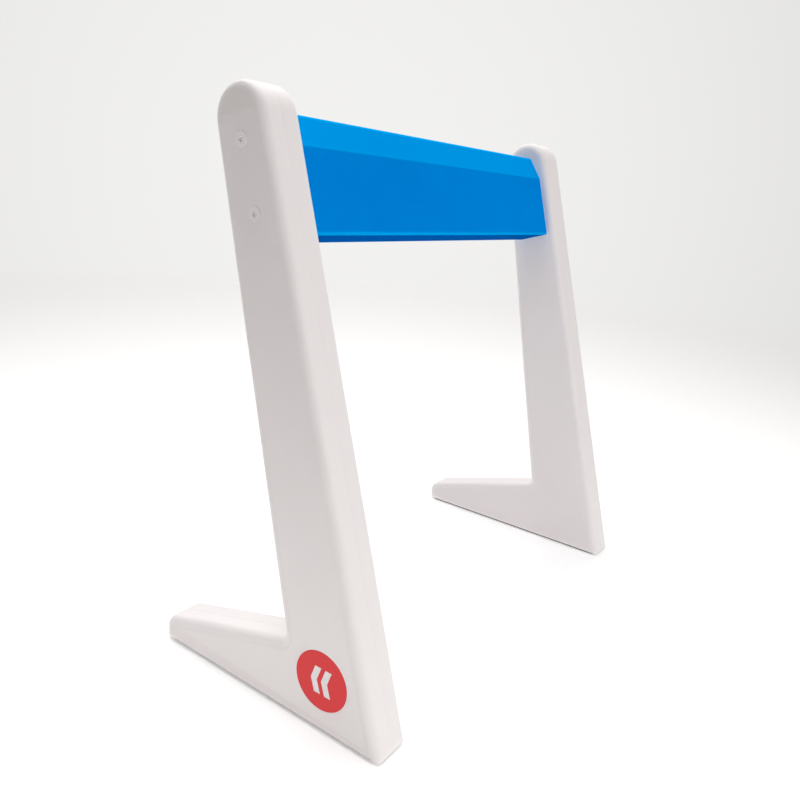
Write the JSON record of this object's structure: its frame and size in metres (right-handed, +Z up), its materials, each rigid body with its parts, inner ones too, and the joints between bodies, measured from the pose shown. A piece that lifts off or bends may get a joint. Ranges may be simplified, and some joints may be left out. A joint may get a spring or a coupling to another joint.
{
  "type": "agility hurdle",
  "caption": "Low rigid agility hurdle: L-shaped white stands that lean backwards on long feet, joined near the top by a bevelled blue crossbar.",
  "frame": {"origin": "on the floor, at the middle of the whole hurdle's width and depth", "axes": "+X along the crossbar from the left stand to the right one, +Y towards the toes of the feet, +Z up; the uprights lean towards +Y"},
  "size_m": [0.4578, 0.2332, 0.45],
  "materials": {
    "stand_white": "fine satin moulded surface",
    "bar_blue": "satin extruded surface",
    "badge_red": "smooth printed disc with a plain white chevron mark",
    "cap_white": "fine satin moulded surface",
    "sole_rubber": "matt",
    "plug_grey": "moulded, hidden inside the bar",
    "zinc_steel": "zinc plated",
    "insert_brass": "turned and knurled"
  },
  "bodies": {
    "root": {"left_outer_shell": "stand_white", "left_inner_shell": "stand_white", "left_sole": "sole_rubber", "left_badge": "badge_red", "left_screw_caps": "cap_white", "left_bar_screws": "zinc_steel", "left_washers": "zinc_steel", "left_bar_plug": "plug_grey", "left_inserts": "insert_brass", "crossbar": "bar_blue", "right_outer_shell": "stand_white", "right_inner_shell": "stand_white", "right_sole": "sole_rubber", "right_badge": "badge_red", "right_screw_caps": "cap_white", "right_bar_screws": "zinc_steel", "right_washers": "zinc_steel", "right_bar_plug": "plug_grey", "right_inserts": "insert_brass"}
  },
  "joints": []
}
